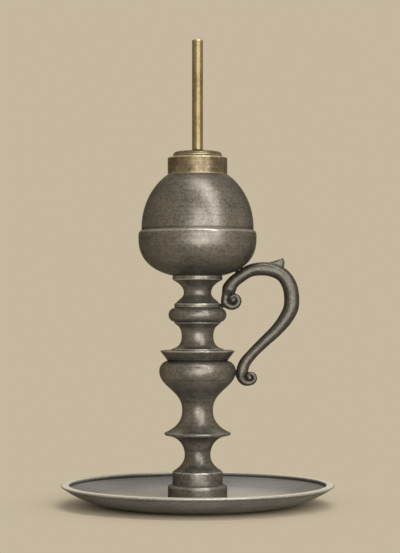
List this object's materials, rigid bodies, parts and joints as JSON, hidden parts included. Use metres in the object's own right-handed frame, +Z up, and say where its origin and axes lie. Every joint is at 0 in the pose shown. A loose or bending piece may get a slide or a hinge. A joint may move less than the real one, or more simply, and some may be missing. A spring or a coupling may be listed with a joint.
{
  "type": "camphene lamp",
  "caption": "Pewter saucer lamp for burning fluid: a round fount on a turned stem, a scrolled side handle and a brass screw burner with a tall wick tube.",
  "frame": {"origin": "centre of the saucer's flat underside, on the surface that the lamp stands on", "axes": "+Z up along the lamp's axis, +X from the axis towards the handle, the handle lies in the XZ plane"},
  "size_m": [0.164, 0.164, 0.279],
  "materials": {
    "saucer_pewter": "dull aged pewter",
    "stem_pewter": "worn satin pewter",
    "fount_pewter": "worn satin pewter",
    "handle_pewter": "worn satin pewter",
    "collar_brass": "dull aged brass",
    "tube_brass": "satin brass",
    "washer_leather": "oiled leather",
    "wick_cotton": "braided cotton"
  },
  "bodies": {
    "lamp": {"saucer": "saucer_pewter", "foot_ring": "stem_pewter", "pedestal": "stem_pewter", "urn_lower": "stem_pewter", "urn_upper": "stem_pewter", "stem": "stem_pewter", "fount_neck": "stem_pewter", "fount_bowl": "fount_pewter", "fount_dome": "fount_pewter", "collar": "collar_brass", "handle": "handle_pewter"},
    "washer": {"washer": "washer_leather"},
    "burner": {"burner_cap": "collar_brass", "wick_tube": "tube_brass"},
    "wick": {"wick": "wick_cotton"}
  },
  "joints": [
    {"name": "burner_rise", "type": "slide", "parent": "lamp", "child": "washer", "axis": [0, 0, 1], "range_m": [0, 0.0072]},
    {"name": "burner_turn", "type": "hinge", "parent": "washer", "child": "burner", "pos_m": [0, 0, 0.209], "axis": [0, 0, 1], "range_deg": [0, 1440]},
    {"name": "wick_raise", "type": "slide", "parent": "burner", "child": "wick", "axis": [0, 0, 1], "range_m": [-0.003, 0.01]}
  ],
  "couplings": [
    {"joint": "burner_rise", "follows": "burner_turn", "m_per_rad": 0.00028647}
  ]
}
